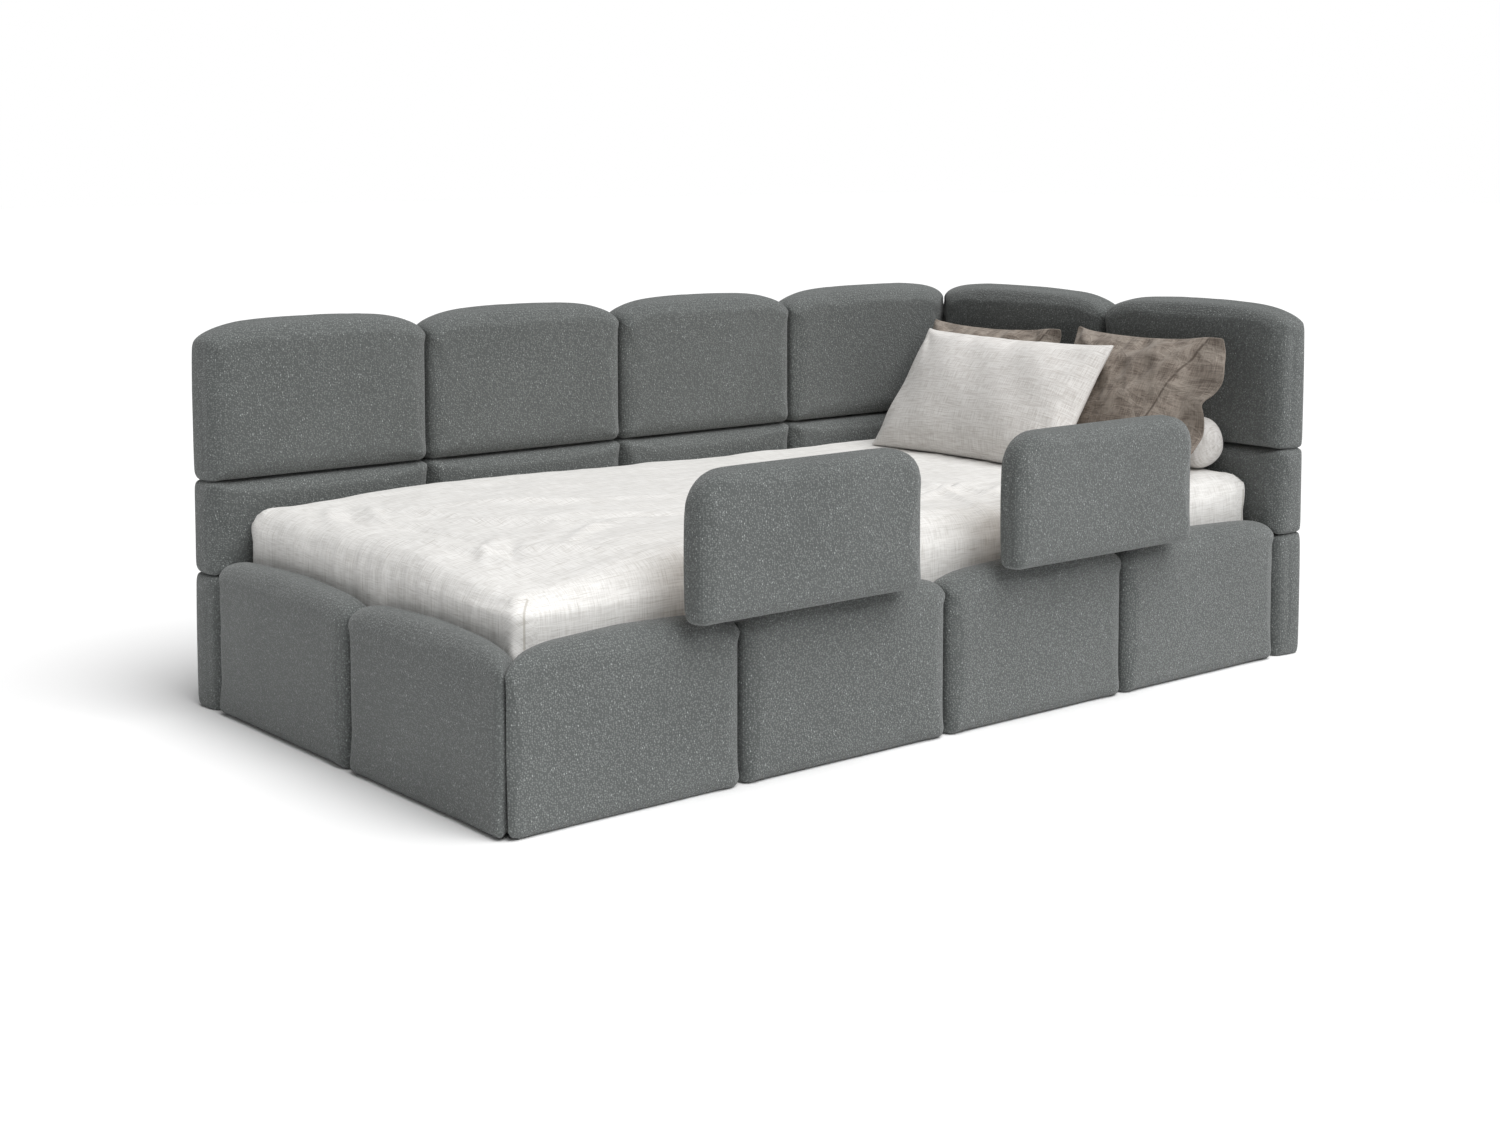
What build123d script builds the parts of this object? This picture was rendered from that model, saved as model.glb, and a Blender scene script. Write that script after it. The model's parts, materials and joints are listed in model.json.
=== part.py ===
from build123d import *
import os
from math import cos, radians, sin, sqrt

# Upholstered corner bed for a small child: a slatted base between padded rails, with a padded
# panel along the back and one at the head, two lift-off guards and a loose mattress with pillows.
# x runs from the foot end to the head end, y from the front rail to the back panel, z up.
# The working origin is the outer front foot corner; every piece is moved to the footprint's centre
# when it is written.

# driving sizes, millimetres: mattress and base
mattress_length = 1600.0
mattress_width = 800.0
mattress_thickness = 130.0
mattress_edge_radius = 26.0
mattress_side_gap = 8.0
mattress_rest_gap = 0.4
rail_thickness = 60.0
rail_shoulder = 238.0
rail_crown = 267.0
rail_board_height = 207.0
board_thickness = 18.0
glide_height = 8.0
glide_radius = 12.0
glide_inset = 60.0

# back and head panels
panel_thickness = 72.0
panel_low_top = 226.0
panel_mid_top = 382.0
panel_shoulder = 612.0
panel_crown = 650.0
panel_board_top = 590.0
lining_thickness = 2.0
lining_margin = 34.0
end_wrap = 14.0
long_modules = 4
short_modules = 2

# slatted base
slat_count = 12
slat_width = 70.0
slat_thickness = 15.0
slat_end_gap = 6.0
slat_row_margin = 30.0
slat_top = 207.0
ledge_width = 25.0
ledge_height = 34.0
ledge_end_gap = 10.0
inner_rail_thickness = 25.0
beam_width = 45.0
beam_height = 45.0
leg_radius = 20.0
leg_shares = (0.33, 0.67)
strap_width = 25.0
strap_thickness = 1.5
strap_shares = (0.25, 0.75)

# corner brackets and their bolts
bracket_leg = 45.0
bracket_height = 110.0
bracket_thickness = 3.0
bracket_base = 35.0
bolt_radius = 3.0
bolt_head_radius = 6.0
bolt_head_height = 3.5
bolt_length = 17.0
bolt_hole_gap = 0.2
bolt_edge = 25.0

# lift-off guards
guard_length = 440.0
guard_height = 225.0
guard_thickness = 48.0
guard_base = 256.0
guard_top_radius = 60.0
guard_bottom_radius = 14.0
guard_offset = 320.0
guard_rail_gap = 2.0
guard_board_thickness = 12.0
guard_board_inset = 16.0

# the two steel hooks of each guard
hook_width = 40.0
hook_thickness = 3.0
hook_spacing = 232.0
hook_plate_rise = 92.0
hook_ledge_gap = 4.0
hook_crown_gap = 1.0
hook_inner_gap = 2.0
screw_radius = 2.0
screw_head_radius = 4.5
screw_head_height = 2.0
screw_length = 10.0
screw_spacing = 32.0
screw_edge = 12.0

# pillows
pillow_rest_gap = 1.0
pillow_gap = 4.0
pillow_edge = 14.0
white_pillow = {"width": 500.0, "height": 280.0, "thickness": 84.0, "lean": 39.0}
brown_pillow = {"height": 284.0, "thickness": 70.0, "lean": 30.0}
white_pillow_side_gap = 88.0
brown_pillow_side_gap = 34.0
brown_pillow_between = 16.0
brown_pillow_top_gap = 46.0
bolster_length = 368.0
bolster_side_gap = 10.0
bolster_end_gap = 42.0

# places worked out from the sizes above
inner_x0 = rail_thickness
inner_y0 = rail_thickness
inner_x1 = inner_x0 + mattress_length + 2 * mattress_side_gap
inner_y1 = inner_y0 + mattress_width + 2 * mattress_side_gap
outer_x1 = inner_x1 + panel_thickness
outer_y1 = inner_y1 + panel_thickness
panel_pad_depth = panel_thickness - board_thickness - lining_thickness
rail_pad_depth = rail_thickness - board_thickness
guard_back = -guard_rail_gap
guard_front = guard_back - guard_thickness
plate_top = guard_base + hook_plate_rise
ledge_top = slat_top - slat_thickness
mattress_base = slat_top + mattress_rest_gap
mattress_top = mattress_base + mattress_thickness
footprint_centre = Pos(-outer_x1 / 2, -(guard_front + outer_y1) / 2, 0)
far = 4 * (outer_x1 + outer_y1)


def block(x0, x1, y0, y1, z0, z1):
    return Pos((x0 + x1) / 2, (y0 + y1) / 2, (z0 + z1) / 2) * Box(x1 - x0, y1 - y0, z1 - z0)


def upright_prism(points, z0, z1):
    return extrude(Pos(0, 0, z0) * make_face(Polyline(*points, close=True)), z1 - z0)


def crowned_outline(u0, u1, z0, shoulder, crown):
    # four sides with the top one bowed up to the crown
    sides = Polyline((u0, shoulder), (u0, z0), (u1, z0), (u1, shoulder))
    bow = ThreePointArc((u1, shoulder), ((u0 + u1) / 2, crown), (u0, shoulder))
    return make_face(sides + bow)


def crowned_along_x(x0, x1, y0, y1, z0, shoulder, crown):
    face = Pos(0, y1, 0) * (Plane.XZ * crowned_outline(x0, x1, z0, shoulder, crown))
    return extrude(face, y1 - y0, dir=(0, -1, 0))


def crowned_along_y(x0, x1, y0, y1, z0, shoulder, crown):
    face = Pos(x0, 0, 0) * (Plane.YZ * crowned_outline(y0, y1, z0, shoulder, crown))
    return extrude(face, x1 - x0, dir=(1, 0, 0))


def crown_height_at(x):
    # top of the front rail's pads above the point x
    pitch = inner_x1 / long_modules
    rise = rail_crown - rail_shoulder
    radius = (pitch * pitch / 4 + rise * rise) / (2 * rise)
    from_middle = (x % pitch) - pitch / 2
    return rail_crown - radius + sqrt(radius * radius - from_middle * from_middle)


def spread(first, last, count):
    return [first + (last - first) * i / (count - 1) for i in range(count)]


def rod(point, direction, radius, length):
    return extrude(Plane(origin=point, z_dir=direction) * Circle(radius), length)


# mitres: the near corner joins the two rails, the far corner joins the two panels
near_mitre_front = upright_prism(
    [(-1, -1), (rail_thickness + 1, rail_thickness + 1), (-1, rail_thickness + 1)], -1, far
)
near_mitre_foot = upright_prism(
    [(-1, -1), (rail_thickness + 1, rail_thickness + 1), (rail_thickness + 1, -1)], -1, far
)
far_mitre_back = upright_prism(
    [(inner_x1 - 1, inner_y1 - 1), (outer_x1 + 1, outer_y1 + 1), (outer_x1 + 1, inner_y1 - 1)], -1, far
)
far_mitre_head = upright_prism(
    [(inner_x1 - 1, inner_y1 - 1), (outer_x1 + 1, outer_y1 + 1), (inner_x1 - 1, outer_y1 + 1)], -1, far
)

# room for the boards: each pad wraps over its board and leaves this space open
rail_board_top = glide_height + rail_board_height
front_board_room = block(rail_pad_depth, inner_x1 + 1, rail_pad_depth, inner_y0 + 1, -1, rail_board_top)
foot_board_room = block(rail_pad_depth, inner_x0 + 1, rail_pad_depth, inner_y1 + 1, -1, rail_board_top)
back_board_room = block(end_wrap, outer_x1 + 1, inner_y1 + panel_pad_depth, outer_y1 + 1, -1, panel_board_top)
head_board_room = block(inner_x1 + panel_pad_depth, outer_x1 + 1, end_wrap, outer_y1 + 1, -1, panel_board_top)


def corner_bolts():
    # two bolts in each leg of each corner bracket, as (point on the board's face, way into the board)
    heights = (bracket_base + bolt_edge, bracket_base + bracket_height - bolt_edge)
    reach = bracket_thickness + (bracket_leg - bracket_thickness) / 2
    x_low, x_high = inner_x0, inner_x1 - inner_rail_thickness
    y_low, y_high = inner_y0, inner_y1 - inner_rail_thickness
    bolts = []
    for z in heights:
        for x, into, step in ((x_low, -1, 1), (x_high, 1, -1)):
            for y, side in ((y_low, 1), (y_high, -1)):
                bolts.append(((x, y + side * reach, z), (into, 0, 0)))
                bolts.append(((x + step * reach, y, z), (0, -side, 0)))
    return bolts


def bolt_holes(extra):
    radius, length = bolt_radius + extra, bolt_length + bracket_thickness
    return Compound([
        rod(Vector(*point) - Vector(*way) * bracket_thickness, way, radius, length)
        for point, way in corner_bolts()
    ])


def make_rails():
    holes = bolt_holes(bolt_hole_gap)
    z0, z1 = glide_height, rail_board_top
    x_face, y_face = inner_x1 - inner_rail_thickness, inner_y1 - inner_rail_thickness
    return {
        "front_rail_board": block(rail_pad_depth, inner_x1, rail_pad_depth, inner_y0, z0, z1) - holes,
        "foot_rail_board": block(rail_pad_depth, inner_x0, inner_y0, inner_y1, z0, z1) - holes,
        "back_inner_rail": block(inner_x0, inner_x1, y_face, inner_y1, z0, ledge_top) - holes,
        "head_inner_rail": block(x_face, inner_x1, inner_y0, y_face, z0, ledge_top) - holes,
    }


def make_panels():
    back_front = inner_y1 + panel_pad_depth
    head_front = inner_x1 + panel_pad_depth
    back_rear = back_front + board_thickness
    head_rear = head_front + board_thickness
    z0, z1 = glide_height, panel_board_top
    return {
        "back_board": block(end_wrap, head_rear, back_front, back_rear, z0, z1),
        "head_board": block(head_front, head_rear, end_wrap, back_front, z0, z1),
        "back_lining": block(
            end_wrap + lining_margin, head_rear - lining_margin, back_rear, back_rear + lining_thickness,
            z0 + lining_margin, z1 - lining_margin
        ),
        "head_lining": block(
            head_rear, head_rear + lining_thickness, end_wrap + lining_margin, back_rear - lining_margin,
            z0 + lining_margin, z1 - lining_margin
        ),
    }


def make_rail_pads():
    pads = {}
    heights = (glide_height, rail_shoulder, rail_crown)
    pitch = inner_x1 / long_modules
    for i in range(long_modules):
        pad = crowned_along_x(i * pitch, (i + 1) * pitch, 0, rail_thickness, *heights)
        pad -= front_board_room
        if i == 0:
            pad -= near_mitre_front
        pads[f"front_pad_{i + 1}"] = pad
    pitch = inner_y1 / short_modules
    for i in range(short_modules):
        pad = crowned_along_y(0, rail_thickness, i * pitch, (i + 1) * pitch, *heights)
        pad -= foot_board_room
        if i == 0:
            pad -= near_mitre_foot
        pads[f"foot_pad_{i + 1}"] = pad
    return pads


def make_back_pads():
    pads = {}
    pitch = inner_x1 / long_modules
    y0, y1 = inner_y1, outer_y1
    for i in range(long_modules):
        last = i == long_modules - 1
        x0, x1 = i * pitch, outer_x1 if last else (i + 1) * pitch
        middle = block(x0, x1, y0, y1, panel_low_top, panel_mid_top) - back_board_room
        top = crowned_along_x(x0, x1, y0, y1, panel_mid_top, panel_shoulder, panel_crown) - back_board_room
        if last:
            middle -= far_mitre_back
            top -= far_mitre_back
        pads[f"back_mid_pad_{i + 1}"] = middle
        pads[f"back_top_pad_{i + 1}"] = top
    low = block(0, outer_x1, y0, y1, glide_height, panel_low_top)
    pads["back_low_pad"] = low - back_board_room - far_mitre_back
    return pads


def make_head_pads():
    pads = {}
    pitch = inner_y1 / short_modules
    x0, x1 = inner_x1, outer_x1
    for i in range(short_modules):
        last = i == short_modules - 1
        y0, y1 = i * pitch, outer_y1 if last else (i + 1) * pitch
        middle = block(x0, x1, y0, y1, panel_low_top, panel_mid_top) - head_board_room
        top = crowned_along_y(x0, x1, y0, y1, panel_mid_top, panel_shoulder, panel_crown) - head_board_room
        if last:
            middle -= far_mitre_head
            top -= far_mitre_head
        pads[f"head_mid_pad_{i + 1}"] = middle
        pads[f"head_top_pad_{i + 1}"] = top
    low = block(x0, x1, 0, outer_y1, glide_height, panel_low_top)
    pads["head_low_pad"] = low - head_board_room - far_mitre_head
    return pads


def make_base():
    parts = {}
    beam_y = (inner_y0 + inner_y1) / 2
    beam_base = ledge_top - beam_height
    beam_end = inner_x1 - inner_rail_thickness
    parts["front_ledge"] = block(
        inner_x0 + ledge_end_gap + bracket_leg, inner_x1 - inner_rail_thickness - ledge_end_gap - bracket_leg,
        inner_y0, inner_y0 + ledge_width, ledge_top - ledge_height, ledge_top
    )
    parts["centre_beam"] = block(
        inner_x0, beam_end, beam_y - beam_width / 2, beam_y + beam_width / 2, beam_base, ledge_top
    )
    legs = []
    for share in leg_shares:
        x = inner_x0 + share * (beam_end - inner_x0)
        legs.append(rod((x, beam_y, 0), (0, 0, 1), leg_radius, beam_base))
    parts["centre_legs"] = Compound(legs)
    first = inner_x0 + slat_row_margin + slat_width / 2
    last = inner_x1 - slat_row_margin - slat_width / 2
    for i, x in enumerate(spread(first, last, slat_count)):
        slat = block(
            x - slat_width / 2, x + slat_width / 2, inner_y0 + slat_end_gap, inner_y1 - slat_end_gap,
            ledge_top, slat_top
        )
        parts[f"slat_{i + 1}"] = fillet(slat.edges().filter_by(Axis.Y), slat_thickness / 5)
    straps = []
    for share in strap_shares:
        y = inner_y0 + share * (inner_y1 - inner_y0)
        straps.append(block(
            first - slat_width / 2, last + slat_width / 2, y - strap_width / 2, y + strap_width / 2,
            ledge_top - strap_thickness, ledge_top
        ))
    parts["slat_straps"] = Compound(straps)
    return parts


def make_brackets():
    brackets = []
    holes = bolt_holes(bolt_hole_gap)
    z0, z1 = bracket_base, bracket_base + bracket_height
    for x, toward_x in ((inner_x0, 1), (inner_x1 - inner_rail_thickness, -1)):
        for y, toward_y in ((inner_y0, 1), (inner_y1 - inner_rail_thickness, -1)):
            xs = sorted((x, x + toward_x * bracket_leg))
            ys = sorted((y, y + toward_y * bracket_leg))
            plate_x = sorted((x, x + toward_x * bracket_thickness))
            plate_y = sorted((y, y + toward_y * bracket_thickness))
            angle = block(*xs, *plate_y, z0, z1) + block(*plate_x, *ys, z0, z1)
            brackets.append(angle - holes)
    bolts = []
    for point, way in corner_bolts():
        face = Vector(*point) - Vector(*way) * bracket_thickness
        head = rod(face - Vector(*way) * bolt_head_height, way, bolt_head_radius, bolt_head_height)
        bolts.append(head + rod(face, way, bolt_radius, bolt_length))
    return {"corner_brackets": Compound(brackets), "corner_bolts": Compound(bolts)}


def make_glides():
    rail_line = rail_pad_depth + board_thickness / 2
    back_line = inner_y1 + panel_pad_depth + board_thickness / 2
    head_line = inner_x1 + panel_pad_depth + board_thickness / 2
    spots = []
    for x in spread(glide_inset, inner_x1 - glide_inset, 4):
        spots += [(x, rail_line), (x, back_line)]
    for y in spread(inner_y0 + glide_inset, inner_y1 - glide_inset, 3):
        spots += [(rail_line, y), (head_line, y)]
    return {"glides": Compound([rod((x, y, 0), (0, 0, 1), glide_radius, glide_height) for x, y in spots])}


def guard_outline(inset):
    half = guard_length / 2 - inset
    z0, z1 = guard_base + inset, guard_base + guard_height - inset
    face = make_face(Polyline((-half, z0), (half, z0), (half, z1), (-half, z1), close=True))
    corners = face.vertices().group_by(Axis.Y)
    face = fillet(corners[0], max(guard_bottom_radius - inset / 2, 2.0))
    corners = face.vertices().group_by(Axis.Y)
    return fillet(corners[-1], max(guard_top_radius - inset, 2.0))


def guard_slab(centre_x, inset, y0, y1):
    face = Pos(centre_x, y1, 0) * (Plane.XZ * guard_outline(inset))
    return extrude(face, y1 - y0, dir=(0, -1, 0))


def hook_places(centre_x):
    # middle of each hook and the height of the bar that crosses the rail
    places = []
    for x in (centre_x - hook_spacing / 2, centre_x + hook_spacing / 2):
        below = [crown_height_at(x + side * hook_width / 2) for side in (-1, 0, 1)]
        places.append((x, max(below) + hook_crown_gap))
    return places


def hook_screws(centre_x):
    # screw axes on the plate's rear face, two to a hook
    points = []
    for x, bar in hook_places(centre_x):
        for step in (0, 1):
            points.append((x, guard_back + hook_thickness, plate_top - screw_edge - step * screw_spacing))
    return points


def make_hook(x, bar):
    leg_face = inner_y0 + hook_inner_gap
    leg_base = ledge_top + hook_ledge_gap
    y0, y1, y2, y3 = guard_back, guard_back + hook_thickness, leg_face, leg_face + hook_thickness
    points = [
        (y0, plate_top), (y0, bar), (y2, bar), (y2, leg_base),
        (y3, leg_base), (y3, bar + hook_thickness), (y1, bar + hook_thickness), (y1, plate_top),
    ]
    face = Pos(x - hook_width / 2, 0, 0) * (Plane.YZ * make_face(Polyline(*points, close=True)))
    return extrude(face, hook_width, dir=(1, 0, 0))


def make_guard(name, centre_x):
    board_front = guard_back - guard_board_thickness
    board = guard_slab(centre_x, guard_board_inset, board_front, guard_back)
    pad = guard_slab(centre_x, 0, guard_front, guard_back) - board
    screw_holes = Compound([rod(p, (0, -1, 0), screw_radius, screw_length) for p in hook_screws(centre_x)])
    hooks = [make_hook(x, bar) - screw_holes for x, bar in hook_places(centre_x)]
    screws = []
    for p in hook_screws(centre_x):
        head = rod(p, (0, 1, 0), screw_head_radius, screw_head_height)
        screws.append(head + rod(p, (0, -1, 0), screw_radius, screw_length))
    return {
        f"{name}_pad": pad,
        f"{name}_board": board - screw_holes,
        f"{name}_hooks": Compound(hooks),
        f"{name}_screws": Compound(screws),
    }


def make_mattress():
    body = block(
        inner_x0 + mattress_side_gap, inner_x1 - mattress_side_gap,
        inner_y0 + mattress_side_gap, inner_y1 - mattress_side_gap, mattress_base, mattress_top
    )
    return {"mattress": fillet(body.edges(), mattress_edge_radius)}


def leaning_pillow(sizes, middle_x, y0, y1):
    # lens-shaped section leaning towards the head panel, as wide as y0 to y1
    lean = radians(sizes["lean"])
    foot_z = mattress_top + pillow_rest_gap + pillow_edge / 2 * sin(lean)
    half = sizes["height"] / 2

    def place(along, out):
        # along the pillow's height from its middle, and out of its plane towards the foot end
        x = middle_x + along * sin(lean) - out * cos(lean)
        return (x, foot_z + (along + half) * cos(lean) + out * sin(lean))

    edge, belly = pillow_edge / 2, sizes["thickness"] / 2
    section = (
        ThreePointArc(place(-half, edge), place(0, belly), place(half, edge))
        + Line(place(half, edge), place(half, -edge))
        + ThreePointArc(place(half, -edge), place(0, -belly), place(-half, -edge))
        + Line(place(-half, -edge), place(-half, edge))
    )
    face = Pos(0, y1, 0) * (Plane.XZ * make_face(section))
    return extrude(face, y1 - y0, dir=(0, -1, 0))


def make_pillows():
    brown_lean = radians(brown_pillow["lean"])
    white_lean = radians(white_pillow["lean"])
    brown_top = inner_x1 - brown_pillow_top_gap
    brown_middle = brown_top - brown_pillow["height"] / 2 * sin(brown_lean)
    brown_foot = brown_top - brown_pillow["height"] * sin(brown_lean)
    half_stack = (brown_pillow["thickness"] + white_pillow["thickness"]) / 2
    white_middle = brown_middle - half_stack / cos(max(brown_lean, white_lean)) - pillow_gap
    # the bolster fills the wedge between the head panel, the mattress and the pillow in front of it
    wedge = (inner_x1 - pillow_gap - brown_foot) * cos(brown_lean) - brown_pillow["thickness"] / 2 - pillow_gap
    bolster_radius = wedge / (1 + cos(brown_lean) + sin(brown_lean))
    bolster_x = inner_x1 - pillow_gap - bolster_radius
    bolster_z = mattress_top + pillow_rest_gap + bolster_radius
    bolster_end = (bolster_x, inner_y0 + bolster_end_gap, bolster_z)
    bolster = rod(bolster_end, (0, 1, 0), bolster_radius, bolster_length)
    # the two brown pillows share the width of the bed
    right_y0 = inner_y0 + mattress_side_gap + bolster_side_gap
    left_y1 = inner_y1 - brown_pillow_side_gap
    brown_width = (left_y1 - right_y0 - brown_pillow_between) / 2
    white_y1 = inner_y1 - white_pillow_side_gap
    return {
        "white_pillow": leaning_pillow(white_pillow, white_middle, white_y1 - white_pillow["width"], white_y1),
        "brown_pillow_left": leaning_pillow(brown_pillow, brown_middle, left_y1 - brown_width, left_y1),
        "brown_pillow_right": leaning_pillow(brown_pillow, brown_middle, right_y0, right_y0 + brown_width),
        "bolster": fillet(bolster.edges().filter_by(GeomType.CIRCLE), bolster_radius * 0.45),
    }


parts = {}
parts.update(make_rails())
parts.update(make_panels())
parts.update(make_rail_pads())
parts.update(make_back_pads())
parts.update(make_head_pads())
parts.update(make_base())
parts.update(make_brackets())
parts.update(make_glides())
parts.update(make_guard("guard_left", inner_x1 / 2 - guard_offset))
parts.update(make_guard("guard_right", inner_x1 / 2 + guard_offset))
parts.update(make_mattress())
parts.update(make_pillows())

os.makedirs("parts", exist_ok=True)
for node, shape in parts.items():
    export_step(footprint_centre * shape, f"parts/{node}.step")
print(f"{len(parts)} parts, outer size {outer_x1:.0f} x {outer_y1 - guard_front:.0f} x {panel_crown:.0f} mm")
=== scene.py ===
import json
import math

import bpy
import numpy as np
from mathutils import Matrix, Vector

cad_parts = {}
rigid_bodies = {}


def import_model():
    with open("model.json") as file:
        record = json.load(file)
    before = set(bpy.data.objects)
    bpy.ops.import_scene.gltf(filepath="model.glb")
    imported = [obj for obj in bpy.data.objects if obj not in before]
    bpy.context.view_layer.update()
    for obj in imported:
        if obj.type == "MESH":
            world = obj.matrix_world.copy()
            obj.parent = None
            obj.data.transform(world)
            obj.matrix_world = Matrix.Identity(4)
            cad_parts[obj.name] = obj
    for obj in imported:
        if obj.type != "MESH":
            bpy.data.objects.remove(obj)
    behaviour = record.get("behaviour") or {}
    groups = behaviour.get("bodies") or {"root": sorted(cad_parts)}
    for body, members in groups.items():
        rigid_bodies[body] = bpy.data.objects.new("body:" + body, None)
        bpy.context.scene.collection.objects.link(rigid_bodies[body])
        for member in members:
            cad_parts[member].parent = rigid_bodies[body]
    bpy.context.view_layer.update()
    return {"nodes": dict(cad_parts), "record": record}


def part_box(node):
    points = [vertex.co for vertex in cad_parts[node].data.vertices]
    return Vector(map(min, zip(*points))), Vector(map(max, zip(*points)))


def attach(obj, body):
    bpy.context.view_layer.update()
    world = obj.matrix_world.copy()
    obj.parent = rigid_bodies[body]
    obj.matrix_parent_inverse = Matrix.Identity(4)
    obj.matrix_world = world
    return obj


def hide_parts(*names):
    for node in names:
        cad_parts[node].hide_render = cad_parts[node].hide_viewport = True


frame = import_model()
nodes = frame["nodes"]
small = 1e-4  # how near counts as being at a plane
print("frame loaded")


# helpers for selecting, editing and applying

def deselectAll():
    if bpy.context.object and bpy.context.object.mode != "OBJECT":
        bpy.ops.object.mode_set(mode="OBJECT")
    bpy.ops.object.select_all(action="DESELECT")


def makeActive(obj):
    deselectAll()
    obj.select_set(True)
    bpy.context.view_layer.objects.active = obj


def editMode(obj, kind):
    makeActive(obj)
    bpy.ops.object.mode_set(mode="EDIT")
    bpy.ops.mesh.select_mode(type=kind)
    bpy.ops.mesh.select_all(action="DESELECT")
    bpy.ops.object.mode_set(mode="OBJECT")


def pickEdges(obj, test):
    # selects the edges whose two ends pass the test, ready for an edit-mode operator
    editMode(obj, "EDGE")
    points = obj.data.vertices
    for edge in obj.data.edges:
        edge.select = test(points[edge.vertices[0]].co, points[edge.vertices[1]].co)
    bpy.ops.object.mode_set(mode="EDIT")


def pickFaces(obj, test):
    editMode(obj, "FACE")
    for face in obj.data.polygons:
        face.select = test(face)
    bpy.ops.object.mode_set(mode="EDIT")


def endEdit():
    bpy.ops.object.mode_set(mode="OBJECT")


def pointsOf(obj):
    flat = np.empty(len(obj.data.vertices) * 3, np.float32)
    obj.data.vertices.foreach_get("co", flat)
    return flat.reshape(-1, 3).astype(float)


def setPoints(obj, points):
    obj.data.vertices.foreach_set("co", points.astype(np.float32).ravel())
    obj.data.update()


def addModifier(obj, kind, **values):
    modifier = obj.modifiers.new(kind.title(), kind)
    for key, value in values.items():
        setattr(modifier, key, value)
    return modifier


def applyModifiers(obj):
    makeActive(obj)
    for modifier in list(obj.modifiers):
        bpy.ops.object.modifier_apply(modifier=modifier.name)


def smoothShade(obj):
    makeActive(obj)
    bpy.ops.object.shade_smooth()


def remesh(obj, voxel):
    addModifier(obj, "REMESH", mode="VOXEL", voxel_size=voxel, use_smooth_shade=True)
    applyModifiers(obj)


def applyPlace(obj):
    makeActive(obj)
    bpy.ops.object.transform_apply(location=True, rotation=True, scale=True)


def addBox(centre, size):
    deselectAll()
    bpy.ops.mesh.primitive_cube_add(size=1, location=centre)
    box = bpy.context.object
    box.scale = size
    applyPlace(box)
    return box


def bevelEdges(obj, test, radius, cuts):
    pickEdges(obj, test)
    bpy.ops.mesh.bevel(offset=radius, segments=cuts, affect="EDGES")
    endEdit()


def bevelRim(obj, test, radius, cuts):
    # rounds the outline of the faces that pass the test
    pickFaces(obj, test)
    bpy.ops.mesh.region_to_loop()
    bpy.ops.mesh.bevel(offset=radius, segments=cuts, affect="EDGES")
    endEdit()


def refine(obj, iterations, factor=0.5):
    addModifier(obj, "SMOOTH", factor=factor, iterations=iterations)
    addModifier(obj, "SUBSURF", levels=1, render_levels=1)
    applyModifiers(obj)


def copyPiece(obj, name):
    other = obj.copy()
    other.data = obj.data.copy()
    other.name = name
    bpy.context.scene.collection.objects.link(other)
    return other


def softStep(value, low, high):
    share = np.clip((value - low) / (high - low), 0, 1)
    return share * share * (3 - 2 * share)


def waves(points, seed, scale):
    # smooth seeded unevenness between about -1 and 1
    count = 7
    rng = np.random.default_rng(seed)
    total = np.zeros(len(points))
    for _ in range(count):
        way = rng.normal(size=3)
        way *= rng.uniform(0.5, 1.6) / scale / np.linalg.norm(way)
        total += np.sin(points @ way * 2 * math.pi + rng.uniform(0, 2 * math.pi))
    return total / math.sqrt(count)


def inflate(obj, pressure, frames, cap, held=None, stiffness=15, bending=0.5, mass=0.3):
    # blows the piece up with cloth simulation; no point moves further than cap
    before = pointsOf(obj)
    cloth = addModifier(obj, "CLOTH")
    settings = cloth.settings
    settings.quality = 5
    settings.mass = mass
    settings.tension_stiffness = settings.compression_stiffness = stiffness
    settings.shear_stiffness = stiffness / 2
    settings.bending_stiffness = bending
    settings.use_pressure = True
    settings.uniform_pressure_force = pressure
    settings.effector_weights.gravity = 0
    if held is not None:
        group = obj.vertex_groups.new(name="held")
        group.add([int(i) for i in np.nonzero(held)[0]], 1.0, "REPLACE")
        settings.vertex_group_mass = "held"
    cloth.point_cache.frame_start = 1
    cloth.point_cache.frame_end = frames
    for step in range(1, frames + 1):
        bpy.context.scene.frame_set(step)
    applyModifiers(obj)
    bpy.context.scene.frame_set(1)
    obj.vertex_groups.clear()
    moved = pointsOf(obj) - before
    far = np.linalg.norm(moved, axis=1, keepdims=True)
    setPoints(obj, before + moved * np.minimum(1, cap / np.maximum(far, 1e-9)))


# node helpers; every material is built from these

def newGroup(name, inputs, outputs):
    group = bpy.data.node_groups.new(name, "ShaderNodeTree")
    for label, kind, value in inputs:
        socket = group.interface.new_socket(label, in_out="INPUT", socket_type=kind)
        if value is not None:
            socket.default_value = value
    for label, kind in outputs:
        group.interface.new_socket(label, in_out="OUTPUT", socket_type=kind)
    return group, group.nodes.new("NodeGroupInput"), group.nodes.new("NodeGroupOutput")


def addNode(tree, kind, links=None, **values):
    node = tree.nodes.new(kind)
    for key, value in values.items():
        setattr(node, key, value)
    for key, value in (links or {}).items():
        socket = node.inputs[key]
        if isinstance(value, bpy.types.NodeSocket):
            tree.links.new(value, socket)
        else:
            socket.default_value = value
    return node


def math2(tree, operation, first, second=0.0, third=0.0):
    return addNode(tree, "ShaderNodeMath", {0: first, 1: second, 2: third}, operation=operation).outputs[0]


def scaled(tree, vector, amounts):
    return addNode(tree, "ShaderNodeVectorMath", {0: vector, 1: amounts}, operation="MULTIPLY").outputs[0]


def ramp(tree, value, low, high, start=0.0, end=1.0):
    links = {"Value": value, "From Min": low, "From Max": high, "To Min": start, "To Max": end}
    return addNode(tree, "ShaderNodeMapRange", links, interpolation_type="SMOOTHSTEP").outputs["Result"]


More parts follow.
